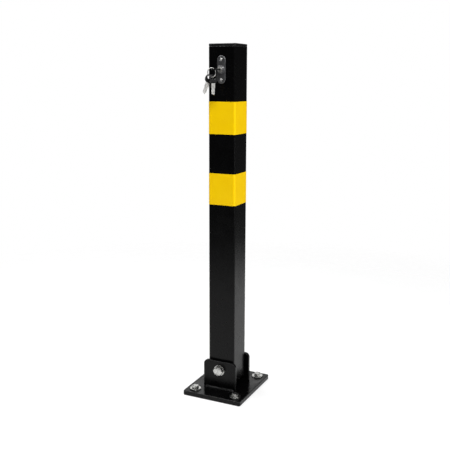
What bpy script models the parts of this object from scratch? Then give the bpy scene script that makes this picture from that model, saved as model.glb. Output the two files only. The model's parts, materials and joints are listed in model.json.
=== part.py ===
"""Folding parking post with a key lock: a square steel post hinged between two lugs of a floor plate.

Metres, +Z up. The origin is the centre of the floor plate's underside. The lock, the key and the head of the
pivot bolt are on the -Y side, and the post folds about the pivot bolt, which lies along Y. The post stands
unlocked: the lock rod is up, clear of the keeper hole in the floor plate, and the key is in the lock.
"""

import math

import bmesh
import bpy
from mathutils import Matrix, Vector

# Driving dimensions, in metres
GAP = 0.0003  # between pieces that touch
JOIN = 0.001  # how far a shape runs into or past the one that it is joined to or cut from

PLATE_X = 0.135
PLATE_Y = 0.160
PLATE_Z = 0.010
PLATE_CORNER = 0.004
PLATE_RIM = 0.0008
ANCHOR_X = 0.0475
ANCHOR_Y = 0.060
ANCHOR_HOLE_RADIUS = 0.0045
KEEPER_HOLE_RADIUS = 0.0065

TUBE_SIDE = 0.060
TUBE_WALL = 0.003
TUBE_CORNER = 0.004
TUBE_BOTTOM = 0.025
POST_TOP = 0.740
CAP_THICKNESS = 0.0057
CAP_RIM = 0.0007
CAP_SKIRT_DEPTH = 0.016
CAP_SKIRT_CORNER = 0.0012
CAP_RIB = 0.0022

BAND_HEIGHT = 0.0655
BAND_THICKNESS = 0.0003
BAND_CLEARANCE = 0.0001
BAND_CENTRES = {"upper_band": 0.5930, "lower_band": 0.4470}

PIVOT_Z = 0.053
PIVOT_RADIUS = 0.006
PIVOT_HOLE_RADIUS = 0.00635
SLEEVE_RADIUS = 0.009
LUG_WIDTH = 0.076
LUG_TOP = 0.0725
LUG_THICKNESS = 0.006
LUG_CORNER = 0.010
LUG_RIM = 0.0005
LUG_INNER_Y = 0.032
WELD_LEG = 0.0035
THRUST_WASHER_RADIUS = 0.0125
THRUST_WASHER_THICKNESS = 0.0011
THRUST_PLAY = 0.0005  # from the tube to a thrust washer

M12_ACROSS_FLATS = 0.019
M12_HEAD_HEIGHT = 0.0075
M12_NUT_HEIGHT = 0.012
M12_NUT_HEX_HEIGHT = 0.0085
NUT_COLLAR_RADIUS = 0.0085
HEX_FACE_SHARE = 0.93  # of the width across flats that stays flat on top
HEX_CONE = math.radians(28)
COLLAR_CHAMFER = 0.0009
SHANK_CHAMFER = 0.001
M12_WASHER_RADIUS = 0.012
M12_WASHER_THICKNESS = 0.0025
PIVOT_THREAD_END = 0.003
M8_ACROSS_FLATS = 0.013
M8_HEAD_HEIGHT = 0.0053
M8_RADIUS = 0.004
M8_WASHER_RADIUS = 0.012
M8_WASHER_THICKNESS = 0.002

LOCK_Z = 0.689
LOCK_PLATE_WIDTH = 0.0185
LOCK_PLATE_HEIGHT = 0.055
LOCK_PLATE_THICKNESS = 0.0025
LOCK_PLATE_RIM = 0.0009
LOCK_SCREW_OFFSET = 0.0200
LOCK_SCREW_RADIUS = 0.0018
LOCK_SCREW_HEAD_RADIUS = 0.0028
LOCK_SCREW_HEAD_HEIGHT = 0.0018
LOCK_SCREW_LENGTH = 0.010
SCREW_SEAT_RADIUS = 0.0041
SCREW_SEAT_DEPTH = 0.0012
SCREW_RECESS_LENGTH = 0.0032
SCREW_RECESS_WIDTH = 0.0008
SCREW_RECESS_DEPTH = 0.0009
SCREW_RECESS_TURN = math.radians(20)
BARREL_RADIUS = 0.0077
FLANGE_RADIUS = 0.0086
FLANGE_THICKNESS = 0.0020
NOSE_RADIUS = 0.0070
NOSE_LENGTH = 0.0032
BARREL_LENGTH = 0.024
PLUG_RADIUS = 0.0055
PLUG_CLEARANCE = 0.0003
CYLINDER_NUT_FLATS = 0.022
CYLINDER_NUT_HEIGHT = 0.004

CRANK_RADIUS = 0.01414
CRANK_THICKNESS = 0.003
CRANK_HUB_RADIUS = 0.0075
CRANK_EYE_RADIUS = 0.0058
CRANK_PIN_RADIUS = 0.003
CRANK_PIN_REACH = 0.0012  # past the yoke
CRANK_RIVET_RADIUS = 0.002
TAIL_SIDE = 0.0064
CRANK_SCREW_RADIUS = 0.0018
CRANK_SCREW_GRIP = 0.002  # of the screw in the plug, past its tail
CRANK_SCREW_HEAD_RADIUS = 0.004
CRANK_SCREW_HEAD_HEIGHT = 0.0018

ROD_X = -0.0170
ROD_RADIUS = 0.005
ROD_BOTTOM = 0.022
ROD_TAPER = 0.003
ROD_TIP_RADIUS = 0.0032
YOKE_THICKNESS = 0.005
YOKE_LEFT = 0.0078  # from the rod's line to the yoke's closed side
YOKE_OVERHANG = 0.004  # past the crank pin at its furthest
YOKE_SLOT_START = 0.0012  # from the rod's line to the slot's closed end
YOKE_SLOT_HEIGHT = 0.0076
YOKE_ARM = 0.0045
YOKE_NECK = 0.0040
YOKE_SOCKET_SIDE = 0.0135
YOKE_SOCKET_HEIGHT = 0.020
YOKE_SOCKET_DEPTH = 0.014
YOKE_PIN_RADIUS = 0.002
GUIDE_THICKNESS = 0.004
GUIDE_CORNER = 0.003
UPPER_GUIDE_Z = 0.600
LOWER_GUIDE_Z = 0.090
SPRING_RADIUS = 0.0077
SPRING_WIRE_RADIUS = 0.0008
SPRING_LENGTH = 0.060
SPRING_TURNS = 9
SPRING_STEPS_A_TURN = 12
COLLAR_RADIUS = 0.009
COLLAR_HEIGHT = 0.008
GRUB_RADIUS = 0.002
DIMPLE_DEPTH = 0.001

KEY_BLADE_WIDTH = 0.007
KEY_BLADE_THICKNESS = 0.0018
KEY_SHOULDER_STEP = 0.0006  # from the blade out to the neck, and in to the tang
KEY_TIP = 0.0018
KEY_CUT_DEPTH = 0.0012
KEY_CUTS = 4
KEY_CUT_REACH = 0.45  # of the pitch between cuts, to either side of a cut's bottom
KEY_CUT_SHARE = (0.6, 1.0)  # of the full depth, for even and odd cuts
KEY_BLADE_LENGTH = 0.013
KEY_NECK_LENGTH = 0.009
KEY_TANG_LENGTH = 0.0055
KEY_HEAD_WIDTH = 0.018
KEY_HEAD_LENGTH = 0.017
KEY_HEAD_THICKNESS = 0.0032
KEY_HEAD_CORNER = 0.0075
KEY_HEAD_RIM = 0.0007
KEY_SLOT_RADIUS = 0.004
KEY_SLOT_SHIFT = 0.0022  # from the slot's centre to the centre of either round end
KEY_SLOT_INSET = 0.0056  # from the head's end to the slot's centre
KEY_SHOULDER_GAP = 0.0006
RING_RADIUS = 0.009
RING_WIRE_RADIUS = 0.00055
RING_PITCH = 0.00125
RING_TURNS = 2
RING_STEPS_A_TURN = 28
RING_RISE = 0.0030  # from the middle of the lock key's head up to the ring's highest point
RING_X = -0.0075  # through the slot and round the head's left side
SPARE_SPACING = 0.0066
SPARE_YAWS = {"spare_key_1": math.radians(55), "spare_key_2": math.radians(61)}
SPARE_LEANS = {"spare_key_1": math.radians(24), "spare_key_2": 0}
SPARE_HANG = 0.0012  # from a spare key's slot centre up to the ring's wire

# Derived places
FACE_Y = -TUBE_SIDE / 2
TUBE_TOP = POST_TOP - CAP_THICKNESS
TUBE_INNER = TUBE_SIDE - 2 * TUBE_WALL
LUG_OUTER_Y = LUG_INNER_Y + LUG_THICKNESS
LOCK_PLATE_FRONT = FACE_Y - GAP - LOCK_PLATE_THICKNESS
FLANGE_FRONT = LOCK_PLATE_FRONT - GAP - FLANGE_THICKNESS
NOSE_FRONT = FLANGE_FRONT - NOSE_LENGTH
BARREL_END = LOCK_PLATE_FRONT - GAP + BARREL_LENGTH
CRANK_FRONT = BARREL_END + 2 * GAP
CRANK_BACK = CRANK_FRONT + CRANK_THICKNESS
CRANK_ARM = CRANK_RADIUS * math.sin(math.radians(45))
SPRING_TOP = UPPER_GUIDE_Z - GAP
COLLAR_MIDDLE = SPRING_TOP - SPRING_LENGTH - GAP - COLLAR_HEIGHT / 2
KEY_SHOULDER = NOSE_FRONT - KEY_SHOULDER_GAP
KEY_SLOT_Y = -KEY_NECK_LENGTH - GAP - KEY_HEAD_LENGTH + KEY_SLOT_INSET  # from the key's shoulder
RING_DROP = RING_RADIUS - RING_RISE  # from the lock key's head down to the ring's centre

NEAR = 1e-6  # points closer than this are one point
FRONT = (math.pi / 2, 0, 0)  # turns a piece modelled along +Z to point out of the front face, along -Y
BACK = (-math.pi / 2, 0, 0)
ALONG_X = (0, math.pi / 2, 0)


def clear_scene():
    for item in list(bpy.data.objects):
        bpy.data.objects.remove(item, do_unlink=True)


def new_collection(name):
    collection = bpy.data.collections.new(name)
    bpy.context.scene.collection.children.link(collection)
    return collection


def new_material(name, colour, roughness, metallic):
    material = bpy.data.materials.new(name)
    material.use_nodes = True
    shader = material.node_tree.nodes["Principled BSDF"]
    shader.inputs["Base Color"].default_value = (*colour, 1)
    shader.inputs["Roughness"].default_value = roughness
    shader.inputs["Metallic"].default_value = metallic
    return material


clear_scene()
PARTS = new_collection("folding_parking_post")
TOOLS = new_collection("cutters")
BLACK_COAT = new_material("black_powder_coat", (0.012, 0.012, 0.013), 0.42, 0.0)
BLACK_PLASTIC = new_material("black_plastic", (0.018, 0.018, 0.019), 0.5, 0.0)
YELLOW_TAPE = new_material("yellow_reflective_tape", (0.863, 0.558, 0.001), 0.35, 0.0)
ZINC = new_material("zinc_plate", (0.72, 0.72, 0.70), 0.32, 1.0)
NICKEL = new_material("nickel_plate", (0.78, 0.77, 0.74), 0.22, 1.0)
DARK_CHROME = new_material("dark_satin_chrome", (0.16, 0.16, 0.165), 0.35, 1.0)
SPRING_STEEL = new_material("spring_steel", (0.35, 0.35, 0.36), 0.35, 1.0)
NYLON = new_material("nylon", (0.75, 0.74, 0.70), 0.5, 0.0)


# Meshes


def finish_mesh(model, name):
    mesh = bpy.data.meshes.new(name)
    model.to_mesh(mesh)
    model.free()
    mesh.shade_smooth()
    mesh.set_sharp_from_angle(angle=math.radians(35))
    return mesh


def baked(item):
    """The evaluated mesh of a temporary object, which is removed."""
    PARTS.objects.link(item)
    bpy.context.view_layer.update()
    evaluated = item.evaluated_get(bpy.context.evaluated_depsgraph_get())
    mesh = bpy.data.meshes.new_from_object(evaluated)
    bpy.data.objects.remove(item, do_unlink=True)
    model = bmesh.new()
    model.from_mesh(mesh)
    bmesh.ops.remove_doubles(model, verts=model.verts, dist=NEAR)
    return finish_mesh(model, mesh.name)


def round_edges(model, chosen, radius, steps):
    edges = [edge for edge in model.edges if chosen(edge.verts[0].co, edge.verts[1].co)]
    bmesh.ops.bevel(
        model, geom=edges, offset=radius, segments=steps, profile=0.5, affect="EDGES", clamp_overlap=True
    )


def box(size, corner=0.0, edge=0.0, corner_steps=4):
    """A box centred on its origin, its upright edges rounded by corner and its rims chamfered by edge."""
    model = bmesh.new()
    bmesh.ops.create_cube(model, size=1)
    bmesh.ops.scale(model, vec=size, verts=model.verts)
    if corner:
        round_edges(model, lambda a, b: abs(a.z - b.z) > NEAR, corner, corner_steps)
    if edge:
        half = size[2] / 2 - NEAR
        round_edges(model, lambda a, b: a.z * b.z > 0 and min(abs(a.z), abs(b.z)) > half, edge, 1)
    return finish_mesh(model, "box")


def cylinder(radius, length, sides=32):
    """A solid cylinder from z = 0 up to its length."""
    model = bmesh.new()
    bmesh.ops.create_cone(
        model, cap_ends=True, segments=sides, radius1=radius, radius2=radius, depth=length
    )
    bmesh.ops.translate(model, vec=(0, 0, length / 2), verts=model.verts)
    return finish_mesh(model, "cylinder")


def turned(profile, sides=32, hollow=True):
    """A profile of (radius, z) points turned about Z, listed down its outer side and up its inner side."""
    mesh = bpy.data.meshes.new("profile")
    count = len(profile)
    edges = [(i, i + 1) for i in range(count - 1)]
    if hollow:
        edges.append((count - 1, 0))
    mesh.from_pydata([(radius, 0, z) for radius, z in profile], edges, [])
    item = bpy.data.objects.new("profile", mesh)
    screw = item.modifiers.new("turn", "SCREW")
    screw.steps = sides
    screw.render_steps = sides
    screw.use_merge_vertices = True
    screw.merge_threshold = NEAR
    return baked(item)


def hexagon(across_flats, height):
    """A hexagonal prism from z = 0 up to its height, with a corner towards +X."""
    prism = cylinder(across_flats / math.sqrt(3), height, 6)
    prism.transform(Matrix.Rotation(math.radians(90), 4, "Z"))
    return prism


def ring(outer, inner, height, sides=32):
    """A plain ring from z = 0 up to its height."""
    return turned([(outer, height), (outer, 0), (inner, 0), (inner, height)], sides)


def slab(points, thickness, holes=(), rim=0.0, rim_steps=1):
    """A flat outline in X and Y, centred on z = 0, with the rims of its two faces rounded by rim."""
    curve = bpy.data.curves.new("outline", "CURVE")
    curve.dimensions = "2D"
    curve.fill_mode = "BOTH"
    curve.extrude = thickness / 2
    for loop in (points, *holes):
        spline = curve.splines.new("POLY")
        spline.points.add(len(loop) - 1)
        for point, (x, y) in zip(spline.points, loop):
            point.co = (x, y, 0, 1)
        spline.use_cyclic_u = True
    mesh = baked(bpy.data.objects.new("outline", curve))
    if not rim:
        return mesh
    model = bmesh.new()
    model.from_mesh(mesh)
    half = thickness / 2 - NEAR
    bmesh.ops.dissolve_limit(model, angle_limit=math.radians(1), verts=model.verts, edges=model.edges)
    round_edges(model, lambda a, b: a.z * b.z > 0 and min(abs(a.z), abs(b.z)) > half, rim, rim_steps)
    return finish_mesh(model, "outline")


def tube_along(points, radius):
    """A round wire through the points."""
    curve = bpy.data.curves.new("wire", "CURVE")
    curve.dimensions = "3D"
    curve.bevel_depth = radius
    curve.bevel_resolution = 2
    curve.use_fill_caps = True
    spline = curve.splines.new("POLY")
    spline.points.add(len(points) - 1)
    for point, place in zip(spline.points, points):
        point.co = (*place, 1)
    return baked(bpy.data.objects.new("wire", curve))


def arc(centre, radius, start, end, steps):
    """Points on an arc, with its angles in degrees."""
    turns = [math.radians(start + (end - start) * i / steps) for i in range(steps + 1)]
    return [(centre[0] + radius * math.cos(t), centre[1] + radius * math.sin(t)) for t in turns]


def rounded_rectangle(left, right, low, high, radius, steps=6):
    inner_left, inner_right = left + radius, right - radius
    inner_low, inner_high = low + radius, high - radius
    points = arc((inner_right, inner_high), radius, 0, 90, steps)
    points += arc((inner_left, inner_high), radius, 90, 180, steps)
    points += arc((inner_left, inner_low), radius, 180, 270, steps)
    points += arc((inner_right, inner_low), radius, 270, 360, steps)
    return points


# Objects


def add_axis(name, parent, place, rotation=(0, 0, 0)):
    """An empty at a world place, which the pieces that move together hang from."""
    axis = bpy.data.objects.new(name, None)
    axis.empty_display_size = 0.02
    PARTS.objects.link(axis)
    if parent:
        axis.parent = parent
        axis.location = parent.matrix_world.inverted() @ Vector(place)
    axis.rotation_euler = rotation
    bpy.context.view_layer.update()
    return axis


def add_part(name, mesh, material, parent, place=None, rotation=(0, 0, 0)):
    """A piece at a world place, or at its parent's own origin."""
    item = bpy.data.objects.new(name, mesh)
    mesh.name = name
    if not mesh.materials:
        mesh.materials.append(material)
    PARTS.objects.link(item)
    item.parent = parent
    if place is not None:
        item.location = parent.matrix_world.inverted() @ Vector(place)
    item.rotation_euler = rotation
    return item


def combine(target, mesh, operation, place=(0, 0, 0), rotation=(0, 0, 0)):
    """Cuts a tool from a piece, or joins it on, with the tool placed in the piece's own space."""
    tool = bpy.data.objects.new(f"{target.name}_tool_{len(target.modifiers) + 1}", mesh)
    TOOLS.objects.link(tool)
    tool.parent = target
    tool.location = place
    tool.rotation_euler = rotation
    tool.hide_render = True
    tool.display_type = "WIRE"
    modifier = target.modifiers.new(tool.name, "BOOLEAN")
    modifier.operation = operation
    modifier.solver = "EXACT"
    modifier.object = tool


def drill(target, radius, place, depth, rotation=(0, 0, 0), sides=32):
    combine(target, cylinder(radius, depth, sides), "DIFFERENCE", place, rotation)


def turn_down_corners(item, across_flats, height):
    """Cuts a hexagon off at its height, with its upper corners turned down to a cone."""
    face = HEX_FACE_SHARE * across_flats / 2
    reach = across_flats / math.sqrt(3) + JOIN
    drop = (reach - face) * math.tan(HEX_CONE)
    profile = [(0, height), (face, height), (reach, height - drop), (reach, -JOIN), (0, -JOIN)]
    combine(item, turned(profile, 36, hollow=False), "INTERSECT")


# Floor plate and hinge


def add_floor_plate(base):
    size = (PLATE_X, PLATE_Y, PLATE_Z)
    shape = box(size, PLATE_CORNER, PLATE_RIM)
    plate = add_part("base_plate", shape, BLACK_COAT, base, (0, 0, PLATE_Z / 2))
    for x in (-ANCHOR_X, ANCHOR_X):
        for y in (-ANCHOR_Y, ANCHOR_Y):
            drill(plate, ANCHOR_HOLE_RADIUS, (x, y, -PLATE_Z), 2 * PLATE_Z, sides=24)
    drill(plate, KEEPER_HOLE_RADIUS, (ROD_X, 0, -PLATE_Z), 2 * PLATE_Z)


def add_hinge_lug(base, name, side):
    """A lug standing across Y, with its two upper corners rounded, and the weld along its outer foot."""
    foot = PLATE_Z + GAP
    height = LUG_TOP - foot
    middle_y = side * (LUG_INNER_Y + LUG_THICKNESS / 2)
    outline = [(-LUG_WIDTH / 2, -height / 2), (LUG_WIDTH / 2, -height / 2)]
    for x, start in ((LUG_WIDTH / 2 - LUG_CORNER, 0), (-LUG_WIDTH / 2 + LUG_CORNER, 90)):
        outline += arc((x, height / 2 - LUG_CORNER), LUG_CORNER, start, start + 90, 8)
    shape = slab(outline, LUG_THICKNESS, rim=LUG_RIM)
    lug = add_part(f"{name}_hinge_lug", shape, BLACK_COAT, base, (0, middle_y, foot + height / 2), FRONT)
    drill(lug, PIVOT_HOLE_RADIUS, (0, PIVOT_Z - foot - height / 2, -LUG_THICKNESS), 2 * LUG_THICKNESS)
    bead = [(0, 0)] + arc((0, 0), WELD_LEG, 0, 90, 4)
    turn = (math.pi / 2, 0, side * math.pi / 2)
    weld = slab(bead, LUG_WIDTH - 2 * WELD_LEG)
    add_part(f"{name}_lug_weld", weld, BLACK_COAT, base, (0, side * (LUG_OUTER_Y + GAP), foot), turn)


def hex_bolt(name, parent, place, rotation, radius, length, across_flats, head_height):
    """A bolt with its head from the place outwards, along its own +Z, and its chamfered shank behind."""
    bolt = add_part(name, hexagon(across_flats, head_height + JOIN), ZINC, parent, place, rotation)
    turn_down_corners(bolt, across_flats, head_height)
    profile = [
        (0, JOIN),
        (radius, JOIN),
        (radius, SHANK_CHAMFER - length),
        (radius - SHANK_CHAMFER, -length),
        (0, -length),
    ]
    combine(bolt, turned(profile, hollow=False), "UNION")


def add_pivot(base):
    washer = ring(M12_WASHER_RADIUS, PIVOT_HOLE_RADIUS, M12_WASHER_THICKNESS)
    washer_y = LUG_OUTER_Y + GAP
    seat_y = washer_y + M12_WASHER_THICKNESS + GAP
    length = 2 * seat_y + M12_NUT_HEIGHT + PIVOT_THREAD_END
    add_part("pivot_bolt_washer", washer, ZINC, base, (0, -washer_y, PIVOT_Z), FRONT)
    add_part("pivot_nut_washer", washer.copy(), ZINC, base, (0, washer_y, PIVOT_Z), BACK)
    hex_bolt("pivot_bolt", base, (0, -seat_y, PIVOT_Z), FRONT, PIVOT_RADIUS, length,
             M12_ACROSS_FLATS, M12_HEAD_HEIGHT)
    prism = hexagon(M12_ACROSS_FLATS, M12_NUT_HEX_HEIGHT + JOIN)
    nut = add_part("pivot_lock_nut", prism, ZINC, base, (0, seat_y, PIVOT_Z), BACK)
    turn_down_corners(nut, M12_ACROSS_FLATS, M12_NUT_HEX_HEIGHT)
    collar = [
        (0, M12_NUT_HEIGHT),
        (NUT_COLLAR_RADIUS - COLLAR_CHAMFER, M12_NUT_HEIGHT),
        (NUT_COLLAR_RADIUS, M12_NUT_HEIGHT - COLLAR_CHAMFER),
        (NUT_COLLAR_RADIUS, M12_NUT_HEX_HEIGHT - JOIN),
        (0, M12_NUT_HEX_HEIGHT - JOIN),
    ]
    combine(nut, turned(collar, hollow=False), "UNION")
    drill(nut, PIVOT_HOLE_RADIUS, (0, 0, -M12_NUT_HEIGHT), 3 * M12_NUT_HEIGHT)
    thrust = ring(THRUST_WASHER_RADIUS, PIVOT_HOLE_RADIUS, THRUST_WASHER_THICKNESS)
    thrust_y = TUBE_SIDE / 2 + THRUST_PLAY
    add_part("front_thrust_washer", thrust, NYLON, base, (0, -thrust_y, PIVOT_Z), FRONT)
    add_part("rear_thrust_washer", thrust.copy(), NYLON, base, (0, thrust_y, PIVOT_Z), BACK)


def add_anchors(base):
    """Four bolts through the floor plate, numbered from the front left, counter-clockwise from above."""
    washer = ring(M8_WASHER_RADIUS, ANCHOR_HOLE_RADIUS, M8_WASHER_THICKNESS)
    washer_z = PLATE_Z + GAP
    seat_z = washer_z + M8_WASHER_THICKNESS + GAP
    corners = ((-1, -1), (1, -1), (1, 1), (-1, 1))
    for number, (side_x, side_y) in enumerate(corners, 1):
        x = side_x * ANCHOR_X
        y = side_y * ANCHOR_Y
        add_part(f"anchor_washer_{number}", washer.copy(), ZINC, base, (x, y, washer_z))
        hex_bolt(f"anchor_bolt_{number}", base, (x, y, seat_z), (0, 0, math.radians(17 * number)),
                 M8_RADIUS, seat_z - GAP, M8_ACROSS_FLATS, M8_HEAD_HEIGHT)


# Post


def square_tube(name, material, parent, size, low, high):
    """An upright tube whose size is its outer side, its wall and its outer corner's radius."""
    side, wall, corner = size
    middle = (0, 0, (low + high) / 2)
    tube = add_part(name, box((side, side, high - low), corner), material, parent, middle)
    inner = side - 2 * wall
    combine(tube, box((inner, inner, high - low + 2 * JOIN), max(corner - wall, JOIN)), "DIFFERENCE")
    return tube


def add_post_tube(post):
    size = (TUBE_SIDE, TUBE_WALL, TUBE_CORNER)
    tube = square_tube("post_tube", BLACK_COAT, post, size, TUBE_BOTTOM, TUBE_TOP)
    middle_z = (TUBE_BOTTOM + TUBE_TOP) / 2
    drill(tube, SLEEVE_RADIUS + GAP, (0, TUBE_SIDE, PIVOT_Z - middle_z), 2 * TUBE_SIDE, FRONT)
    wall_cut = 3 * TUBE_WALL
    cut_y = FACE_Y + 2 * TUBE_WALL
    drill(tube, BARREL_RADIUS + GAP, (0, cut_y, LOCK_Z - middle_z), wall_cut, FRONT)
    for offset in (-LOCK_SCREW_OFFSET, LOCK_SCREW_OFFSET):
        drill(tube, LOCK_SCREW_RADIUS + GAP, (0, cut_y, LOCK_Z + offset - middle_z), wall_cut, FRONT, 16)
    half = TUBE_SIDE / 2 + GAP
    sleeve = ring(SLEEVE_RADIUS, PIVOT_HOLE_RADIUS, 2 * half)
    add_part("pivot_sleeve", sleeve, ZINC, post, (0, half, PIVOT_Z), FRONT)


def add_cap(post):
    """A flat plastic end cap with a hollow skirt and crossed ribs inside the tube."""
    skirt_side = TUBE_INNER - 2 * GAP
    size = (TUBE_SIDE, TUBE_SIDE, CAP_THICKNESS - GAP)
    shape = box(size, TUBE_CORNER, CAP_RIM)
    cap = add_part("top_cap", shape, BLACK_PLASTIC, post, (0, 0, POST_TOP - size[2] / 2))
    skirt_z = -size[2] / 2 - CAP_SKIRT_DEPTH / 2 + JOIN
    skirt = box((skirt_side, skirt_side, CAP_SKIRT_DEPTH + JOIN), CAP_SKIRT_CORNER)
    combine(cap, skirt, "UNION", (0, 0, skirt_z))
    pocket = (skirt_side - 3 * CAP_RIB) / 2
    shift = (pocket + CAP_RIB) / 2
    for x in (-shift, shift):
        for y in (-shift, shift):
            cutter = box((pocket, pocket, CAP_SKIRT_DEPTH), CAP_SKIRT_CORNER)
            combine(cap, cutter, "DIFFERENCE", (x, y, skirt_z - 1.5 * JOIN))


def add_bands(post):
    outwards = BAND_CLEARANCE + BAND_THICKNESS
    size = (TUBE_SIDE + 2 * outwards, BAND_THICKNESS, TUBE_CORNER + outwards)
    half = BAND_HEIGHT / 2
    for name, middle in BAND_CENTRES.items():
        square_tube(name, YELLOW_TAPE, post, size, middle - half, middle + half)


def add_rod_guide(post, name, z):
    """A square plate welded across the inside of the tube, with a hole for the rod."""
    side = TUBE_INNER - 2 * GAP
    shape = box((side, side, GUIDE_THICKNESS), GUIDE_CORNER, corner_steps=2)
    guide = add_part(name, shape, ZINC, post, (0, 0, z + GUIDE_THICKNESS / 2))
    drill(guide, ROD_RADIUS + GAP, (ROD_X, 0, -GUIDE_THICKNESS), 2 * GUIDE_THICKNESS)


# Lock


def add_lock_plate(post):
    radius = LOCK_PLATE_WIDTH / 2
    straight = LOCK_PLATE_HEIGHT / 2 - radius
    outline = arc((0, straight), radius, 0, 180, 16) + arc((0, -straight), radius, 180, 360, 16)
    shape = slab(outline, LOCK_PLATE_THICKNESS, rim=LOCK_PLATE_RIM)
    middle_y = FACE_Y - GAP - LOCK_PLATE_THICKNESS / 2
    plate = add_part("lock_plate", shape, DARK_CHROME, post, (0, middle_y, LOCK_Z), FRONT)
    start = -LOCK_PLATE_THICKNESS
    depth = 2 * LOCK_PLATE_THICKNESS
    drill(plate, BARREL_RADIUS + GAP, (0, 0, start), depth)
    seat = LOCK_PLATE_THICKNESS / 2 - SCREW_SEAT_DEPTH
    for offset in (-LOCK_SCREW_OFFSET, LOCK_SCREW_OFFSET):
        drill(plate, LOCK_SCREW_RADIUS + GAP, (0, offset, start), depth, sides=16)
        drill(plate, SCREW_SEAT_RADIUS, (0, offset, seat), depth, sides=24)
    add_lock_screw("lock_plate_upper_screw", post, LOCK_Z + LOCK_SCREW_OFFSET)
    add_lock_screw("lock_plate_lower_screw", post, LOCK_Z - LOCK_SCREW_OFFSET)


def add_lock_screw(name, post, z):
    """A domed screw with a cross recess, sunk in its seat in the lock plate."""
    dome = [(0, 1.0), (0.5, 0.93), (0.82, 0.68), (1.0, 0.30), (1.0, 0.0), (0, 0)]
    head = [(x * LOCK_SCREW_HEAD_RADIUS, z * LOCK_SCREW_HEAD_HEIGHT) for x, z in dome]
    seat_y = LOCK_PLATE_FRONT + SCREW_SEAT_DEPTH - GAP
    screw = add_part(name, turned(head, 24, hollow=False), ZINC, post, (0, seat_y, z), FRONT)
    shank = cylinder(LOCK_SCREW_RADIUS, LOCK_SCREW_LENGTH + LOCK_SCREW_HEAD_HEIGHT / 2, 16)
    combine(screw, shank, "UNION", (0, 0, -LOCK_SCREW_LENGTH))
    recess_size = (SCREW_RECESS_LENGTH, SCREW_RECESS_WIDTH, 2 * SCREW_RECESS_DEPTH)
    for turn in (0, math.pi / 2):
        place = (0, 0, LOCK_SCREW_HEAD_HEIGHT)
        combine(screw, box(recess_size), "DIFFERENCE", place, (0, 0, turn + SCREW_RECESS_TURN))


def add_lock_cylinder(post):
    """The housing, turned about the plug's axis, and the nut that clamps it to the post's wall."""
    bore = PLUG_RADIUS + PLUG_CLEARANCE
    top = FLANGE_THICKNESS + NOSE_LENGTH
    chamfer = 0.0008
    profile = [
        (NOSE_RADIUS - chamfer, top),
        (NOSE_RADIUS, top - chamfer),
        (NOSE_RADIUS, FLANGE_THICKNESS),
        (FLANGE_RADIUS - chamfer / 2, FLANGE_THICKNESS),
        (FLANGE_RADIUS, FLANGE_THICKNESS - chamfer / 2),
        (FLANGE_RADIUS, 0),
        (BARREL_RADIUS, 0),
        (BARREL_RADIUS, -BARREL_LENGTH),
        (bore, -BARREL_LENGTH),
        (bore, top),
    ]
    flange_y = LOCK_PLATE_FRONT - GAP
    add_part("lock_cylinder", turned(profile), DARK_CHROME, post, (0, flange_y, LOCK_Z), FRONT)
    wall_y = FACE_Y + TUBE_WALL + GAP
    prism = hexagon(CYLINDER_NUT_FLATS, CYLINDER_NUT_HEIGHT + JOIN)
    nut = add_part("cylinder_nut", prism, ZINC, post, (0, wall_y, LOCK_Z), BACK)
    turn_down_corners(nut, CYLINDER_NUT_FLATS, CYLINDER_NUT_HEIGHT)
    drill(nut, BARREL_RADIUS + GAP, (0, 0, -JOIN), CYLINDER_NUT_HEIGHT + 2 * JOIN)


def add_plug(plug_axis):
    """The turning plug with its keyway, level at rest, and the square tail that carries the crank."""
    front = NOSE_FRONT - GAP
    back = BARREL_END + GAP
    length = back - front
    plug = add_part("lock_plug", cylinder(PLUG_RADIUS, length), NICKEL, plug_axis, (0, back, LOCK_Z), FRONT)
    tail = box((TAIL_SIDE, TAIL_SIDE, CRANK_THICKNESS + JOIN))
    combine(plug, tail, "UNION", (0, 0, (JOIN - CRANK_THICKNESS) / 2))
    slot = (KEY_BLADE_WIDTH + 2 * GAP, KEY_BLADE_THICKNESS + 2 * GAP, KEY_BLADE_LENGTH + 2 * JOIN)
    combine(plug, box(slot), "DIFFERENCE", (0, 0, length - slot[2] / 2 + JOIN))
    screw_hole = 2 * CRANK_THICKNESS + CRANK_SCREW_GRIP + JOIN
    drill(plug, CRANK_SCREW_RADIUS + GAP, (0, 0, -2 * CRANK_THICKNESS), screw_hole, sides=16)


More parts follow.
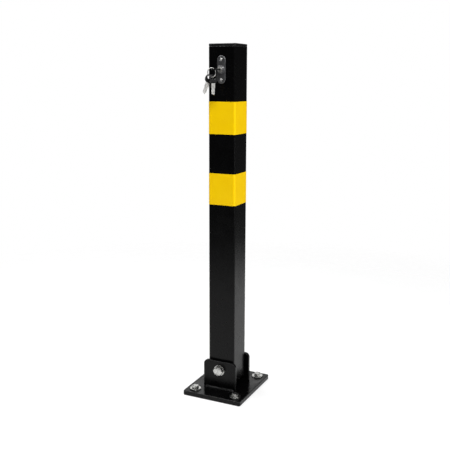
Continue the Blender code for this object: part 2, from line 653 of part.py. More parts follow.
def add_crank(plug_axis):
    """The arm on the plug's tail, its riveted pin and the screw that holds it."""
    eye = (-CRANK_ARM, CRANK_ARM)
    spread = math.degrees(math.asin((CRANK_HUB_RADIUS - CRANK_EYE_RADIUS) / CRANK_RADIUS))
    outline = arc((0, 0), CRANK_HUB_RADIUS, 225 - spread, 405 + spread, 16)
    outline += arc(eye, CRANK_EYE_RADIUS, 45 + spread, 225 - spread, 10)
    middle_y = (CRANK_FRONT + CRANK_BACK) / 2
    shape = slab(outline, CRANK_THICKNESS)
    arm = add_part("crank_arm", shape, ZINC, plug_axis, (0, middle_y, LOCK_Z), FRONT)
    hole = TAIL_SIDE + 2 * GAP
    combine(arm, box((hole, hole, 2 * CRANK_THICKNESS)), "DIFFERENCE")
    drill(arm, CRANK_RIVET_RADIUS + GAP, (*eye, -CRANK_THICKNESS), 2 * CRANK_THICKNESS, sides=16)
    pin_start = CRANK_BACK + GAP
    pin_length = YOKE_THICKNESS / 2 + CRANK_PIN_REACH - pin_start
    place = (-CRANK_ARM, pin_start, LOCK_Z + CRANK_ARM)
    pin = add_part("crank_pin", cylinder(CRANK_PIN_RADIUS, pin_length, 24), ZINC, plug_axis, place, BACK)
    rivet = CRANK_THICKNESS + GAP
    combine(pin, cylinder(CRANK_RIVET_RADIUS, rivet + JOIN, 16), "UNION", (0, 0, -rivet))
    head = cylinder(CRANK_SCREW_HEAD_RADIUS, CRANK_SCREW_HEAD_HEIGHT, 24)
    screw = add_part("crank_screw", head, ZINC, plug_axis, (0, CRANK_BACK + GAP, LOCK_Z), BACK)
    shank = CRANK_THICKNESS + CRANK_SCREW_GRIP
    combine(screw, cylinder(CRANK_SCREW_RADIUS, shank + JOIN, 16), "UNION", (0, 0, -shank))


# Rod


def add_rod(rod_axis):
    """The yoke that the crank pin carries, and the rod that it drives, joined by a cross pin."""
    pin_z = LOCK_Z + CRANK_ARM
    half_slot = YOKE_SLOT_HEIGHT / 2
    left = -YOKE_LEFT
    right = -ROD_X - CRANK_ARM + YOKE_OVERHANG
    slot_end = half_slot - YOKE_SLOT_START
    side = YOKE_SOCKET_SIDE
    outer = half_slot + YOKE_ARM
    foot = outer + YOKE_NECK
    outline = [(right, outer), (left, outer), (left, -foot)]
    outline += [(side / 2, -foot), (side / 2, -outer), (right, -outer), (right, -half_slot)]
    outline += arc((slot_end, 0), half_slot, 270, 90, 10) + [(right, half_slot)]
    yoke = add_part("rod_yoke", slab(outline, YOKE_THICKNESS), ZINC, rod_axis, (ROD_X, 0, pin_z), FRONT)
    socket_top = JOIN - foot
    socket = box((side, YOKE_SOCKET_HEIGHT, side))
    combine(yoke, socket, "UNION", (0, socket_top - YOKE_SOCKET_HEIGHT / 2, 0))
    socket_bottom = socket_top - YOKE_SOCKET_HEIGHT
    seat = (0, socket_bottom + YOKE_SOCKET_DEPTH, 0)
    drill(yoke, ROD_RADIUS + GAP, seat, YOKE_SOCKET_DEPTH + JOIN, FRONT)
    pin_drop = socket_bottom + YOKE_SOCKET_DEPTH / 2
    drill(yoke, YOKE_PIN_RADIUS + GAP, (0, pin_drop, -side), 2 * side, sides=16)
    cross_pin = cylinder(YOKE_PIN_RADIUS, side, 16)
    add_part("yoke_pin", cross_pin, SPRING_STEEL, rod_axis, (ROD_X, side / 2, pin_z + pin_drop), FRONT)

    length = pin_z + socket_bottom + YOKE_SOCKET_DEPTH - GAP - ROD_BOTTOM
    profile = [(0, length), (ROD_RADIUS, length), (ROD_RADIUS, ROD_TAPER), (ROD_TIP_RADIUS, 0), (0, 0)]
    rod = add_part("lock_rod", turned(profile, 24, hollow=False), ZINC, rod_axis, (ROD_X, 0, ROD_BOTTOM))
    cross_z = pin_z + pin_drop - ROD_BOTTOM
    drill(rod, YOKE_PIN_RADIUS + GAP, (0, side, cross_z), 2 * side, FRONT, 16)
    dimple_place = (ROD_RADIUS - DIMPLE_DEPTH, 0, COLLAR_MIDDLE - ROD_BOTTOM)
    drill(rod, GRUB_RADIUS + GAP, dimple_place, 2 * DIMPLE_DEPTH, ALONG_X, 16)


def add_spring(post, rod_axis):
    """The return spring between the upper guide and a collar on the rod, with its grub screw."""
    steps = SPRING_TURNS * SPRING_STEPS_A_TURN
    travel = SPRING_LENGTH - 2 * SPRING_WIRE_RADIUS
    points = []
    for i in range(steps + 1):
        turn = 2 * math.pi * SPRING_TURNS * i / steps
        z = -SPRING_WIRE_RADIUS - travel * i / steps
        points.append((SPRING_RADIUS * math.cos(turn), SPRING_RADIUS * math.sin(turn), z))
    wire = tube_along(points, SPRING_WIRE_RADIUS)
    add_part("return_spring", wire, SPRING_STEEL, post, (ROD_X, 0, SPRING_TOP))
    shape = ring(COLLAR_RADIUS, ROD_RADIUS + GAP, COLLAR_HEIGHT)
    place = (ROD_X, 0, COLLAR_MIDDLE - COLLAR_HEIGHT / 2)
    collar = add_part("spring_collar", shape, ZINC, rod_axis, place)
    drill(collar, GRUB_RADIUS + GAP, (0, 0, COLLAR_HEIGHT / 2), 2 * COLLAR_RADIUS, ALONG_X, 16)
    inner = ROD_RADIUS - DIMPLE_DEPTH + GAP
    grub = cylinder(GRUB_RADIUS, COLLAR_RADIUS - inner - GAP, 12)
    add_part("collar_grub_screw", grub, SPRING_STEEL, rod_axis, (ROD_X + inner, 0, COLLAR_MIDDLE), ALONG_X)


# Keys


def key_blade_mesh():
    """A cut blade along +Y from its shoulder, and the neck and tang along -Y."""
    half = KEY_BLADE_WIDTH / 2
    neck = half + KEY_SHOULDER_STEP
    tang = half - KEY_SHOULDER_STEP
    pitch = KEY_BLADE_LENGTH / (KEY_CUTS + 2)
    reach = KEY_CUT_REACH * pitch
    outline = [(half, 0), (half, KEY_BLADE_LENGTH - half), (KEY_TIP, KEY_BLADE_LENGTH)]
    outline += [(KEY_TIP - half, KEY_BLADE_LENGTH - KEY_TIP)]
    for cut in range(KEY_CUTS, 0, -1):
        y = cut * pitch
        depth = KEY_CUT_DEPTH * KEY_CUT_SHARE[cut % 2]
        outline += [(-half, y + reach), (-half + depth, y), (-half, y - reach)]
    outline += [(-half, 0), (-neck, 0), (-neck, -KEY_NECK_LENGTH), (-tang, -KEY_NECK_LENGTH)]
    end = -KEY_NECK_LENGTH - KEY_TANG_LENGTH
    outline += [(-tang, end), (tang, end), (tang, -KEY_NECK_LENGTH), (neck, -KEY_NECK_LENGTH), (neck, 0)]
    return slab(outline, KEY_BLADE_THICKNESS)


def add_key(name, parent, place):
    """A metal blade in a plastic head, flat in X and Y, with the head along -Y."""
    add_part(f"{name}_blade", key_blade_mesh(), NICKEL, parent, place)
    near = -KEY_NECK_LENGTH - GAP
    far = near - KEY_HEAD_LENGTH
    half = KEY_HEAD_WIDTH / 2
    outline = rounded_rectangle(-half, half, far, near, KEY_HEAD_CORNER)
    slot = arc((KEY_SLOT_SHIFT, KEY_SLOT_Y), KEY_SLOT_RADIUS, -90, 90, 10)
    slot += arc((-KEY_SLOT_SHIFT, KEY_SLOT_Y), KEY_SLOT_RADIUS, 90, 270, 10)
    mesh = slab(outline, KEY_HEAD_THICKNESS, [slot], KEY_HEAD_RIM, 2)
    head = add_part(f"{name}_head", mesh, BLACK_PLASTIC, parent, place)
    tang = KEY_BLADE_WIDTH - 2 * KEY_SHOULDER_STEP
    depth = KEY_TANG_LENGTH + GAP
    pocket = box((tang + 2 * GAP, depth + JOIN, KEY_BLADE_THICKNESS + 2 * GAP))
    combine(head, pocket, "DIFFERENCE", (0, near + (JOIN - depth) / 2, 0))


def add_split_ring(ring_axis):
    """Two turns of wire in the ring's own X and Z plane."""
    steps = RING_TURNS * RING_STEPS_A_TURN
    points = []
    for i in range(steps + 1):
        turn = RING_TURNS * i / steps
        angle = 2 * math.pi * turn
        y = RING_PITCH * (turn - RING_TURNS / 2)
        points.append((RING_RADIUS * math.sin(angle), y, RING_RADIUS * math.cos(angle) - RING_DROP))
    add_part("split_ring", tube_along(points, RING_WIRE_RADIUS), NICKEL, ring_axis)


def add_keys(key_axis):
    add_key("lock_key", key_axis, (0, KEY_SHOULDER, LOCK_Z))
    ring_axis = add_axis("ring_axis", key_axis, (RING_X, KEY_SHOULDER + KEY_SLOT_Y, LOCK_Z))
    add_split_ring(ring_axis)

    for side, name in ((-1, "spare_key_1"), (1, "spare_key_2")):
        shift = side * SPARE_SPACING / 2
        depth = RING_DROP + math.sqrt(RING_RADIUS**2 - shift**2)
        place = ring_axis.matrix_world @ Vector((shift, 0, -depth))
        turn = (-math.pi / 2, SPARE_LEANS[name], SPARE_YAWS[name])
        spare_axis = add_axis(f"{name}_axis", ring_axis, place, turn)
        shoulder = spare_axis.matrix_world @ Vector((0, SPARE_HANG - KEY_SLOT_Y, 0))
        add_key(name, spare_axis, shoulder)


def build():
    base = add_axis("base_frame", None, (0, 0, 0))
    add_floor_plate(base)
    add_hinge_lug(base, "front", -1)
    add_hinge_lug(base, "rear", 1)
    add_pivot(base)
    add_anchors(base)

    post = add_axis("post_axis", base, (0, 0, PIVOT_Z))
    add_post_tube(post)
    add_cap(post)
    add_bands(post)
    add_rod_guide(post, "upper_rod_guide", UPPER_GUIDE_Z)
    add_rod_guide(post, "lower_rod_guide", LOWER_GUIDE_Z)
    add_lock_plate(post)
    add_lock_cylinder(post)

    rod_axis = add_axis("rod_axis", post, (ROD_X, 0, ROD_BOTTOM))
    add_rod(rod_axis)
    add_spring(post, rod_axis)

    plug_axis = add_axis("plug_axis", post, (0, NOSE_FRONT, LOCK_Z))
    add_plug(plug_axis)
    add_crank(plug_axis)
    key_axis = add_axis("key_axis", plug_axis, (0, KEY_SHOULDER, LOCK_Z))
    add_keys(key_axis)


build()
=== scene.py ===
"""The looks of a folding parking post: its finishes, the pieces made finer than the frame's, and the studio.

Metres, +Z up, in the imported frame's own space.
"""

import json
import math

import bmesh
import bpy
from mathutils import Matrix, Vector


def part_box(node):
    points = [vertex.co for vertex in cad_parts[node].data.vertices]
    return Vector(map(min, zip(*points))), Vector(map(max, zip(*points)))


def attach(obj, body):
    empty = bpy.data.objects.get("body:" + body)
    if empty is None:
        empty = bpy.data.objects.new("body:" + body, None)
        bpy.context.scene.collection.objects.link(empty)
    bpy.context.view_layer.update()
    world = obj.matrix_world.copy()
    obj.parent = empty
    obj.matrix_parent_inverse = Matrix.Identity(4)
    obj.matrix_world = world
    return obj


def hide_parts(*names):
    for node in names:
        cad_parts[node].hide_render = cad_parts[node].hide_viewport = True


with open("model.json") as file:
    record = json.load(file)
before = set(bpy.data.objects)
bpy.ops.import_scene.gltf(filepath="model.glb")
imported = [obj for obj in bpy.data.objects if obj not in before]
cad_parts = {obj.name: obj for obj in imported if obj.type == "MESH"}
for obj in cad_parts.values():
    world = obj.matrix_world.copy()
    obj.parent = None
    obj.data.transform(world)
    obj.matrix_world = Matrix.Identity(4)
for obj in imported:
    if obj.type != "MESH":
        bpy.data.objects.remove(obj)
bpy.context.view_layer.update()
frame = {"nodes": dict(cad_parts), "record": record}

# Camera
CAMERA_PLACE = (0.6347, -1.3338, 0.6717)  # metres
CAMERA_AZIMUTH = math.radians(25.66)
CAMERA_PITCH = math.radians(11.66)
CAMERA_ROLL = math.radians(0.16)
CAMERA_LENS = 56.82  # millimetres
CAMERA_SENSOR = 36.0  # millimetres

# Studio
BACKDROP = (1.0, 1.0, 1.0)
ROOM_ABOVE = 0.022  # strength of the light from above the horizon
ROOM_BELOW = 0.100
HORIZON_BLEND = 0.1  # of a direction's height, to either side of the horizon
FLOOR_Z = -0.0004  # just under the plate, so that their faces don't share a plane
FLOOR_RADIUS = 1.75
FLOOR_SIDES = 96
FLOOR_FADE_START = 0.80
FLOOR_FADE_END = 1.45
FLOOR_GLOW = 0.62
FLOOR_COLOUR = 0.32
FLOOR_MOTTLE = 1.04  # of the floor's colour, in its palest patches
FLOOR_PATCH = 0.25
SOFTBOXES = {
    # name: (place, size, watts)
    "overhead_softbox": ((-0.95, 0.05, 2.15), 1.40, 50.0),
    "right_softbox": ((2.10, -0.20, 2.10), 1.20, 45.0),
    "front_softbox": ((1.00, -2.00, 2.40), 1.20, 68.0),
    "right_card": ((2.20, -0.10, 0.22), 0.45, 3.0),
    "back_card": ((-1.05, 2.20, 1.20), 0.60, 2.2),
}
LIGHT_AIM = (0.0, 0.0, 0.35)

# Finishes
SMOOTH_ANGLE = math.radians(35)
WELD_DISTANCE = 1e-5
FLAT_FACE_WEIGHT = 100  # a corner's normal follows its largest face
BEVEL_SAMPLES = 6
FILM_CELL = 0.0032
FILM_LINE_SOFTNESS = 0.35

# Pieces made finer than in the frame
BEAD_PITCH = 0.0021
BEAD_RINGS_A_RIPPLE = 8
BEAD_ARC_STEPS = 12
BEAD_END = 0.41  # of the weld's leg, at either end of the bead
BEAD_GROWTH = 0.55  # from there to the bead's full size
BEAD_FULL = 0.96
BEAD_RIPPLE = 0.14
BEAD_RIPPLE_CURVE = 1.6
BEAD_BOW = 0.75  # of the pitch, by which each crescent bows forward
BEAD_SWAYS = ((0.020, 9.1, 0.0), (0.015, 31.7, 1.0))  # share of the leg, radians along the bead, start
BOLT_RADIUS = 0.006
BOLT_THREAD_PITCH = 0.00175
BOLT_THREAD_DEPTH = 0.00107
BOLT_THREAD_LENGTH = 0.020
BOLT_THREAD_CREST = 0.12  # of the pitch that stays flat
BOLT_THREAD_STEEPNESS = 1.3
BOLT_STEPS_A_THREAD = 10
BOLT_HEAD_HEIGHT = 0.0075
BOLT_FACE_SHARE = 0.93
BOLT_HEAD_LEVELS = (0.97, 0.94, 0.90, 0.86, 0.82, 0.78, 0.03, 0.0)  # of the head's height
BOLT_CONE = math.radians(28)
BOLT_SIDES = 72
BOLT_TIP = 0.0011
RING_WIRE_RADIUS = 0.00055
RING_PITCH = 0.00125
RING_TURNS = 2
RING_STEPS_A_TURN = 48
RING_WIRE_RESOLUTION = 5


# Shader helpers


class Finish:
    """A node material round one Principled shader, with its patterns placed in metres on the piece."""

    def __init__(self, name, metallic=0.0, ior=1.5):
        self.material = bpy.data.materials.new(name)
        self.material.use_nodes = True
        self.tree = self.material.node_tree
        self.shader = self.tree.nodes["Principled BSDF"]
        self.shader.inputs["Metallic"].default_value = metallic
        self.shader.inputs["IOR"].default_value = ior
        self.place = self.tree.nodes.new("ShaderNodeTexCoord").outputs["Object"]

    def node(self, kind, inputs, output, **settings):
        """One output of a new node, whose inputs are values or other nodes' outputs."""
        made = self.tree.nodes.new(kind)
        for setting, value in settings.items():
            setattr(made, setting, value)
        for socket, value in inputs.items():
            if isinstance(value, bpy.types.NodeSocket):
                self.tree.links.new(value, made.inputs[socket])
            else:
                made.inputs[socket].default_value = value
        return made.outputs[output]

    def noise(self, size, detail=2.0, stretch=(1.0, 1.0, 1.0)):
        """Noise in blotches about size metres across, and longer along an axis whose stretch is below 1."""
        place = self.node("ShaderNodeVectorMath", {0: self.place, 1: stretch}, 0, operation="MULTIPLY")
        return self.node("ShaderNodeTexNoise", {"Vector": place, "Scale": 1 / size, "Detail": detail}, "Fac")

    def math(self, operation, first, second=0.0):
        """One sum on values or other nodes' outputs."""
        return self.node("ShaderNodeMath", {0: first, 1: second}, 0, operation=operation)

    def spread(self, source, low, high, start=0.3, end=0.7):
        """Maps start..end of the source on to low..high, and holds it there."""
        inputs = {"Value": source, "From Min": start, "From Max": end, "To Min": low, "To Max": high}
        return self.node("ShaderNodeMapRange", inputs, 0)

    def blend(self, share, first, second):
        """The first colour where the share is 0, and the second where it is 1."""
        return self.node("ShaderNodeMix", {0: share, 6: first, 7: second}, 2, data_type="RGBA")

    def shades(self, source, dark, light, start=0.3, end=0.7):
        """A colour between dark and light."""
        return self.blend(self.spread(source, 0.0, 1.0, start, end), (*dark, 1), (*light, 1))

    def rounded(self, radius):
        """The surface's normal with its sharp edges rounded."""
        return self.node("ShaderNodeBevel", {"Radius": radius}, 0, samples=BEVEL_SAMPLES)

    def edges(self, radius, gain):
        """Near 1 along the piece's sharp edges, and 0 on its faces."""
        face = self.tree.nodes.new("ShaderNodeNewGeometry").outputs["Normal"]
        rounded = self.rounded(radius)
        turned = self.node("ShaderNodeVectorMath", {0: rounded, 1: face}, 1, operation="DOT_PRODUCT")
        return self.math("MINIMUM", self.math("MULTIPLY", self.math("SUBTRACT", 1.0, turned), gain), 1.0)

    def bump(self, height, distance, normal):
        """The normal tilted by a height from 0 to 1 that stands for distance metres."""
        inputs = {"Height": height, "Distance": distance, "Strength": 1.0, "Normal": normal}
        return self.node("ShaderNodeBump", inputs, 0)

    def wear(self, **inputs):
        """Sets the shader's inputs, named with _ for their spaces, and returns the material."""
        for name, value in inputs.items():
            socket = self.shader.inputs[name.replace("_", " ").title()]
            if isinstance(value, bpy.types.NodeSocket):
                self.tree.links.new(value, socket)
            else:
                socket.default_value = value
        return self.material


# Finishes, one for each of the record's slots


def powder_coat():
    """Satin black powder coat: a fine orange peel, cloudy gloss, and edges painted paler, partly rubbed wear
    and partly a painted highlight.
    """
    finish = Finish("black_powder_coat_finish", ior=1.25)
    cloud = finish.noise(0.045, 3.0)
    peel = finish.noise(0.0016, 2.0)
    grain = finish.noise(0.0004, 1.0)
    patchy = finish.spread(finish.noise(0.009, 4.0), 0.35, 1.0)
    # Paler edges: partly rubbed wear, partly a painted highlight standing in for light caught on the rims.
    rubbed_and_highlight = finish.math("MULTIPLY", finish.edges(0.0012, 5.0), patchy)
    body = finish.shades(cloud, (0.0006, 0.0006, 0.0007), (0.0011, 0.0011, 0.0012))
    colour = finish.blend(rubbed_and_highlight, body, (0.075, 0.075, 0.076, 1))
    texture = finish.math("ADD", finish.math("MULTIPLY", peel, 0.8), finish.math("MULTIPLY", grain, 0.2))
    return finish.wear(
        base_color=colour,
        roughness=finish.spread(finish.noise(0.02, 3.0), 0.22, 0.30),
        normal=finish.bump(texture, 0.000018, finish.rounded(0.0014)),
    )


def moulded_plastic():
    """Black moulded plastic with a spark-eroded grain."""
    finish = Finish("black_plastic_finish", ior=1.38)
    grain = finish.noise(0.00045, 3.0)
    body = finish.shades(finish.noise(0.008, 3.0), (0.0030, 0.0030, 0.0032), (0.0055, 0.0055, 0.0058))
    return finish.wear(
        base_color=body,
        roughness=finish.spread(finish.noise(0.004, 3.0), 0.36, 0.50),
        normal=finish.bump(grain, 0.00004, finish.rounded(0.0005)),
    )


def reflective_film():
    """Yellow reflective film: a faint lattice of cells under a smooth clear face."""
    finish = Finish("yellow_reflective_film_finish", ior=1.25)
    parts = finish.tree.nodes.new("ShaderNodeSeparateXYZ")
    finish.tree.links.new(finish.place, parts.inputs[0])
    across = finish.math("ADD", parts.outputs[0], parts.outputs[1])
    lattice = None
    for operation in ("ADD", "SUBTRACT"):
        slant = finish.math(operation, across, parts.outputs[2])
        slant = finish.math("MULTIPLY", slant, 2 * math.pi / FILM_CELL)
        line = finish.math("POWER", finish.math("ABSOLUTE", finish.math("SINE", slant)), FILM_LINE_SOFTNESS)
        lattice = line if lattice is None else finish.math("MULTIPLY", lattice, line)
    cloud = finish.math("MULTIPLY", finish.noise(0.02, 3.0), 0.5)
    tone = finish.math("ADD", finish.math("MULTIPLY", lattice, 0.5), cloud)
    return finish.wear(
        base_color=finish.shades(tone, (0.83, 0.500, 0.0006), (0.90, 0.590, 0.0009), 0.2, 0.8),
        roughness=finish.spread(finish.noise(0.012, 3.0), 0.30, 0.42),
        normal=finish.bump(lattice, 0.000012, finish.rounded(0.0004)),
    )


def zinc_plate():
    """Bright zinc plate, mottled by the bath, with fine scratches from handling."""
    finish = Finish("zinc_plate_finish", metallic=1.0)
    mottle = finish.noise(0.0017, 4.0)
    scratch = finish.noise(0.0006, 2.0, (1.0, 0.12, 1.0))
    return finish.wear(
        base_color=finish.shades(mottle, (0.33, 0.33, 0.32), (0.64, 0.64, 0.62)),
        roughness=finish.spread(mottle, 0.17, 0.32),
        normal=finish.bump(scratch, 0.00003, finish.rounded(0.0007)),
    )


def nickel_plate():
    """Polished nickel, with faint polishing lines."""
    finish = Finish("nickel_plate_finish", metallic=1.0)
    lines = finish.noise(0.0004, 2.0, (0.15, 1.0, 1.0))
    return finish.wear(
        base_color=finish.shades(finish.noise(0.003, 3.0), (0.78, 0.77, 0.74), (0.90, 0.89, 0.86)),
        roughness=finish.spread(lines, 0.24, 0.38),
        normal=finish.bump(lines, 0.00001, finish.rounded(0.0003)),
    )


def dark_chrome():
    """Dark satin plate, brushed lengthwise, with a painted highlight along its rims."""
    finish = Finish("dark_satin_chrome_finish", metallic=0.75)
    brushed = finish.noise(0.0005, 3.0, (1.0, 1.0, 0.06))
    body = finish.shades(brushed, (0.075, 0.075, 0.078), (0.125, 0.125, 0.130))
    # Painted highlight: a pale colour along the rims, where light would catch.
    colour = finish.blend(finish.edges(0.0006, 5.0), body, (0.36, 0.36, 0.37, 1))
    return finish.wear(
        base_color=colour,
        roughness=finish.spread(brushed, 0.34, 0.48),
        normal=finish.bump(brushed, 0.00002, finish.rounded(0.0012)),
    )


def spring_steel():
    """Oiled spring steel with blued patches."""
    finish = Finish("spring_steel_finish", metallic=1.0)
    patches = finish.noise(0.006, 4.0)
    return finish.wear(
        base_color=finish.shades(patches, (0.20, 0.20, 0.22), (0.42, 0.41, 0.40)),
        roughness=finish.spread(patches, 0.26, 0.44),
        normal=finish.bump(finish.noise(0.0005, 2.0), 0.00002, finish.rounded(0.0002)),
    )


def nylon():
    """Natural nylon, slightly translucent, with a soft grain."""
    finish = Finish("nylon_finish", ior=1.53)
    return finish.wear(
        base_color=finish.shades(finish.noise(0.004, 3.0), (0.68, 0.66, 0.60), (0.78, 0.77, 0.72)),
        roughness=finish.spread(finish.noise(0.002, 3.0), 0.42, 0.58),
        subsurface_weight=0.2,
        normal=finish.bump(finish.noise(0.0006, 2.0), 0.00003, finish.rounded(0.0003)),
    )


FINISHES = {
    "black_powder_coat": powder_coat(),
    "black_plastic": moulded_plastic(),
    "yellow_reflective_tape": reflective_film(),
    "zinc_plate": zinc_plate(),
    "nickel_plate": nickel_plate(),
    "dark_satin_chrome": dark_chrome(),
    "spring_steel": spring_steel(),
    "nylon": nylon(),
}


# Frame nodes


def smooth_group():
    """Welds a node's split corners and shades it smooth, but for edges sharper than SMOOTH_ANGLE."""
    tree = bpy.data.node_groups.new("smooth_by_angle", "GeometryNodeTree")
    for direction in ("INPUT", "OUTPUT"):
        tree.interface.new_socket("Geometry", in_out=direction, socket_type="NodeSocketGeometry")
    start = tree.nodes.new("NodeGroupInput")
    plain = tree.nodes.new("GeometryNodeRemoveAttribute")
    plain.inputs["Name"].default_value = "custom_normal"
    weld = tree.nodes.new("GeometryNodeMergeByDistance")
    weld.inputs["Distance"].default_value = WELD_DISTANCE
    faces = tree.nodes.new("GeometryNodeSetShadeSmooth")
    faces.domain = "FACE"
    faces.inputs["Shade Smooth"].default_value = True
    angle = tree.nodes.new("GeometryNodeInputMeshEdgeAngle")
    gentle = tree.nodes.new("FunctionNodeCompare")
    gentle.operation = "LESS_THAN"
    gentle.inputs["B"].default_value = SMOOTH_ANGLE
    edges = tree.nodes.new("GeometryNodeSetShadeSmooth")
    edges.domain = "EDGE"
    end = tree.nodes.new("NodeGroupOutput")
    chain = (start, plain, weld, faces, edges, end)
    for before, after in zip(chain, chain[1:]):
        tree.links.new(before.outputs["Geometry"], after.inputs["Geometry"])
    tree.links.new(angle.outputs["Unsigned Angle"], gentle.inputs["A"])
    tree.links.new(gentle.outputs["Result"], edges.inputs["Shade Smooth"])
    return tree


SMOOTH_GROUP = smooth_group()


def smooth(item):
    """Smooth shading that keeps flat faces flat."""
    item.modifiers.new("smooth_by_angle", "NODES").node_group = SMOOTH_GROUP
    weighted = item.modifiers.new("flat_faces", "WEIGHTED_NORMAL")
    weighted.keep_sharp = True
    weighted.weight = FLAT_FACE_WEIGHT


def finish_frame_nodes():
    """Each node takes the finish of its own slot in the record."""
    slots = {part["node"]: part["material_slot"] for part in frame["record"]["subparts"]}
    for name, item in frame["nodes"].items():
        item.data.materials.clear()
        item.data.materials.append(FINISHES[slots[name]])
        smooth(item)


# Finer pieces


def add_piece(name, mesh, slot, body, *stands_for):
    """A new piece that rides on a body and stands for the frame's nodes named."""
    item = bpy.data.objects.new(name, mesh)
    bpy.context.scene.collection.objects.link(item)
    mesh.materials.clear()
    mesh.materials.append(FINISHES[slot])
    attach(item, body)
    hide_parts(*stands_for)
    return item


def loft(name, rings):
    """A closed skin through rings of the same number of points, with both ends capped."""
    model = bmesh.new()
    loops = [[model.verts.new(point) for point in ring] for ring in rings]
    count = len(loops[0])
    for near, far in zip(loops, loops[1:]):
        for i in range(count):
            j = (i + 1) % count
            model.faces.new((near[i], near[j], far[j], far[i]))
    model.faces.new(loops[0])
    model.faces.new(loops[-1])
    bmesh.ops.recalc_face_normals(model, faces=model.faces)
    mesh = bpy.data.meshes.new(name)
    model.to_mesh(mesh)
    model.free()
    mesh.shade_smooth()
    mesh.set_sharp_from_angle(angle=SMOOTH_ANGLE)
    return mesh


def weld_bead(name, node, side):
    """A fillet weld along X in the corner of lug and plate, laid in overlapping crescents."""
    low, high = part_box(node)
    corner = Vector((0, high.y if side < 0 else low.y, low.z))
    leg = high.z - low.z
    length = high.x - low.x
    count = round(length / BEAD_PITCH) * BEAD_RINGS_A_RIPPLE
    rings = []
    for i in range(count + 1):
        along = i / count
        end = min(along, 1 - along) * length / leg
        taper = BEAD_END + BEAD_GROWTH * math.sqrt(min(1.0, end))
        sway = sum(share * math.sin(rate * along + start) for share, rate, start in BEAD_SWAYS)
        ring = [corner + Vector((low.x + length * along, 0, 0))]
        for j in range(BEAD_ARC_STEPS + 1):
            angle = math.pi / 2 * j / BEAD_ARC_STEPS
            ripple = (length * along / BEAD_PITCH + BEAD_BOW * math.sin(2 * angle)) % 1.0
            radius = min(leg, leg * taper * (BEAD_FULL - BEAD_RIPPLE * ripple**BEAD_RIPPLE_CURVE + sway))
            ring.append(ring[0] + Vector((0, side * radius * math.cos(angle), radius * math.sin(angle))))
        rings.append(ring)
    add_piece(name, loft(name, rings), "black_powder_coat", "base", node)


def pivot_bolt():
    """The hinge bolt: a hexagon head with its corners turned down, a plain shank and a cut thread."""
    low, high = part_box("pivot_bolt")
    axis_x = (low.x + high.x) / 2
    axis_z = (low.z + high.z) / 2
    flat_radius = (high.z - low.z) / 2
    seat = low.y + BOLT_HEAD_HEIGHT

    def head(turn, height):
        hexagon = flat_radius / math.cos(turn % (math.pi / 3) - math.pi / 6)
        cone = BOLT_FACE_SHARE * flat_radius + (BOLT_HEAD_HEIGHT - height) / math.tan(BOLT_CONE)
        return min(hexagon, cone)

    def thread(turn, y):
        wave = abs(((y / BOLT_THREAD_PITCH + turn / (2 * math.pi)) % 1.0) * 2 - 1)
        cut = BOLT_THREAD_DEPTH * min(1.0, max(0.0, (wave - BOLT_THREAD_CREST) * BOLT_THREAD_STEEPNESS))
        run_in = min(1.0, max(0.0, (y - (high.y - BOLT_THREAD_LENGTH)) / BOLT_THREAD_PITCH))
        tip = BOLT_RADIUS - max(0.0, BOLT_TIP - (high.y - y))
        return min(BOLT_RADIUS - cut * run_in, tip)

    levels = [(low.y, lambda turn: head(turn, BOLT_HEAD_HEIGHT))]
    for share in BOLT_HEAD_LEVELS:
        height = share * BOLT_HEAD_HEIGHT
        levels.append((seat - height, lambda turn, height=height: head(turn, height)))
    levels.append((seat, lambda turn: BOLT_RADIUS))
    steps = round(BOLT_THREAD_LENGTH / BOLT_THREAD_PITCH * BOLT_STEPS_A_THREAD)
    for step in range(steps + 1):
        y = high.y - BOLT_THREAD_LENGTH * (1 - step / steps)
        levels.append((y, lambda turn, y=y: thread(turn, y)))
    turns = [2 * math.pi * i / BOLT_SIDES for i in range(BOLT_SIDES)]
    rings = [
        [(axis_x + radius(t) * math.cos(t), y, axis_z + radius(t) * math.sin(t)) for t in turns]
        for y, radius in levels
    ]
    add_piece("hinge_bolt", loft("hinge_bolt", rings), "zinc_plate", "base", "pivot_bolt")


def split_ring():
    """Two turns of round wire, the second climbing over the first."""
    low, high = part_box("split_ring")
    middle = (low + high) / 2
    radius = (high.z - low.z) / 2 - RING_WIRE_RADIUS
    curve = bpy.data.curves.new("key_split_ring", "CURVE")
    curve.dimensions = "3D"
    curve.bevel_depth = RING_WIRE_RADIUS
    curve.bevel_resolution = RING_WIRE_RESOLUTION
    curve.use_fill_caps = True
    steps = RING_TURNS * RING_STEPS_A_TURN
    spline = curve.splines.new("POLY")
    spline.points.add(steps)
    for i, point in enumerate(spline.points):
        turn = 2 * math.pi * RING_TURNS * i / steps
        y = RING_PITCH * RING_TURNS * (i / steps - 0.5)
        point.co = (middle.x + radius * math.sin(turn), middle.y + y, middle.z + radius * math.cos(turn), 1)
    wire = bpy.data.objects.new("wire", curve)
    bpy.context.scene.collection.objects.link(wire)
    bpy.context.view_layer.update()
    mesh = bpy.data.meshes.new_from_object(wire.evaluated_get(bpy.context.evaluated_depsgraph_get()))
    bpy.data.objects.remove(wire)
    mesh.shade_smooth()
    add_piece("key_split_ring", mesh, "nickel_plate", "key_ring", "split_ring")


# Studio


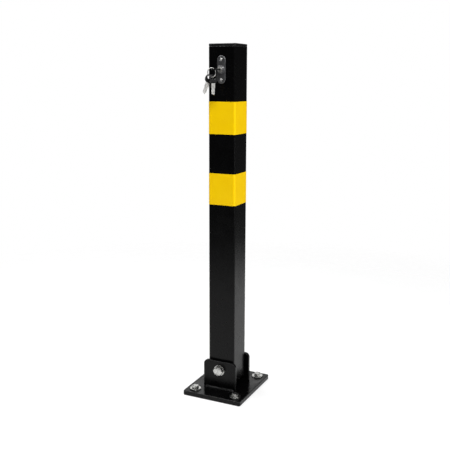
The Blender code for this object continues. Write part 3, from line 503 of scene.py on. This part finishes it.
def add_floor():
    """A round pale floor that fades into the backdrop."""
    bpy.ops.mesh.primitive_circle_add(vertices=FLOOR_SIDES, radius=FLOOR_RADIUS, fill_type="NGON")
    floor = bpy.context.object
    floor.location.z = FLOOR_Z
    floor.name = "floor"
    finish = Finish("pale_floor")
    mottle = finish.noise(FLOOR_PATCH, 3.0)
    finish.wear(
        base_color=finish.shades(mottle, (FLOOR_COLOUR,) * 3, (FLOOR_MOTTLE * FLOOR_COLOUR,) * 3),
        roughness=0.8,
        emission_color=(1, 1, 1, 1),
        emission_strength=FLOOR_GLOW,
    )
    reach = finish.node("ShaderNodeVectorMath", {0: finish.place}, 1, operation="LENGTH")
    gone = finish.spread(reach, 0.0, 1.0, FLOOR_FADE_START, FLOOR_FADE_END)
    clear = finish.node("ShaderNodeBsdfTransparent", {}, 0)
    faded = finish.node("ShaderNodeMixShader", {0: gone, 1: finish.shader.outputs[0], 2: clear}, 0)
    finish.tree.links.new(faded, finish.tree.nodes["Material Output"].inputs["Surface"])
    floor.data.materials.append(finish.material)


def add_backdrop():
    """White behind the object, and a dim room everywhere else, so that the black coat stays black."""
    world = bpy.data.worlds.new("studio")
    bpy.context.scene.world = world
    world.use_nodes = True
    tree = world.node_tree
    tree.nodes.clear()
    output = tree.nodes.new("ShaderNodeOutputWorld")
    room = tree.nodes.new("ShaderNodeBackground")
    white = tree.nodes.new("ShaderNodeBackground")
    white.inputs["Color"].default_value = (*BACKDROP, 1)
    direction = tree.nodes.new("ShaderNodeSeparateXYZ")
    tree.links.new(tree.nodes.new("ShaderNodeTexCoord").outputs["Generated"], direction.inputs[0])
    height = tree.nodes.new("ShaderNodeMapRange")
    height.inputs["From Min"].default_value = -HORIZON_BLEND
    height.inputs["From Max"].default_value = HORIZON_BLEND
    height.inputs["To Min"].default_value = ROOM_BELOW
    height.inputs["To Max"].default_value = ROOM_ABOVE
    tree.links.new(direction.outputs[2], height.inputs["Value"])
    tree.links.new(height.outputs[0], room.inputs["Strength"])
    mix = tree.nodes.new("ShaderNodeMixShader")
    tree.links.new(tree.nodes.new("ShaderNodeLightPath").outputs["Is Camera Ray"], mix.inputs[0])
    tree.links.new(room.outputs[0], mix.inputs[1])
    tree.links.new(white.outputs[0], mix.inputs[2])
    tree.links.new(mix.outputs[0], output.inputs["Surface"])


def add_softboxes():
    """Square soft lights, all aimed at the middle of the post and none of them seen."""
    for name, (place, size, watts) in SOFTBOXES.items():
        lamp = bpy.data.lights.new(name, "AREA")
        lamp.size = size
        lamp.energy = watts
        item = bpy.data.objects.new(name, lamp)
        bpy.context.scene.collection.objects.link(item)
        item.location = place
        item.rotation_euler = (Vector(LIGHT_AIM) - Vector(place)).to_track_quat("-Z", "Y").to_euler()
        item.visible_camera = False


def add_camera():
    """The view of the post from its front right, a little above its middle."""
    camera = bpy.data.objects.new("camera", bpy.data.cameras.new("camera"))
    bpy.context.scene.collection.objects.link(camera)
    camera.data.lens = CAMERA_LENS
    camera.data.sensor_width = CAMERA_SENSOR
    turn = Matrix.Rotation(CAMERA_AZIMUTH, 3, "Z")
    tilt = Matrix.Rotation(math.pi / 2 - CAMERA_PITCH, 3, "X")
    roll = Matrix.Rotation(CAMERA_ROLL, 3, "Z")
    camera.location = CAMERA_PLACE
    camera.rotation_euler = (turn @ tilt @ roll).to_euler()
    bpy.context.scene.camera = camera
    bpy.context.scene.view_settings.view_transform = "Standard"


finish_frame_nodes()
weld_bead("front_weld_bead", "front_lug_weld", -1)
weld_bead("rear_weld_bead", "rear_lug_weld", 1)
pivot_bolt()
split_ring()
add_floor()
add_backdrop()
add_softboxes()
add_camera()
